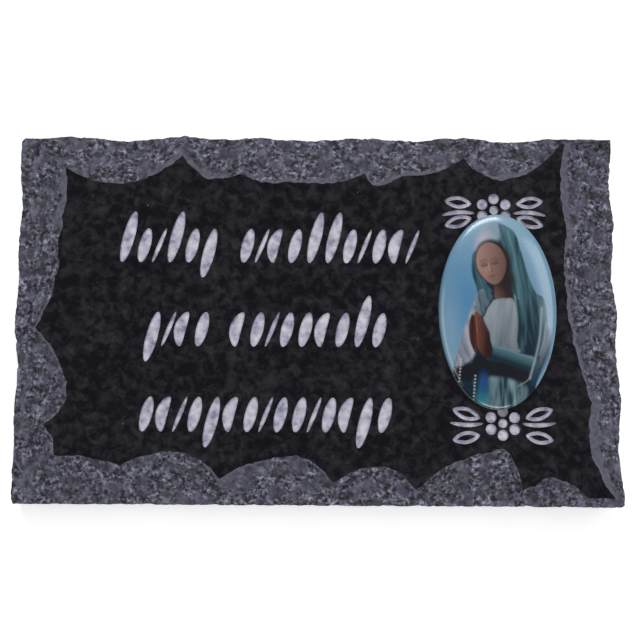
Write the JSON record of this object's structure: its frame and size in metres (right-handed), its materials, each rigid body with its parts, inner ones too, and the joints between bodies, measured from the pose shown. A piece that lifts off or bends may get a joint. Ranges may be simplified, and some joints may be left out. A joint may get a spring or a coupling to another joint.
{
  "type": "grave plaque",
  "caption": "Flat granite grave plaque with a polished engraved face, a chipped border and an oval domed porcelain picture medallion.",
  "frame": {"origin": "middle of the slab's sawn back, on the surface that it lies on", "axes": "+X along the rows to the reader's right, +Y towards the heads of the rows, +Z out of the polished face"},
  "size_m": [0.2527, 0.155, 0.0254],
  "materials": {
    "granite": "dark polished granite face with silver painted engraving, rough split border",
    "porcelain": "white porcelain with a glossy glazed picture"
  },
  "bodies": {
    "root": {"stone": "granite", "medallion": "porcelain"}
  },
  "joints": []
}
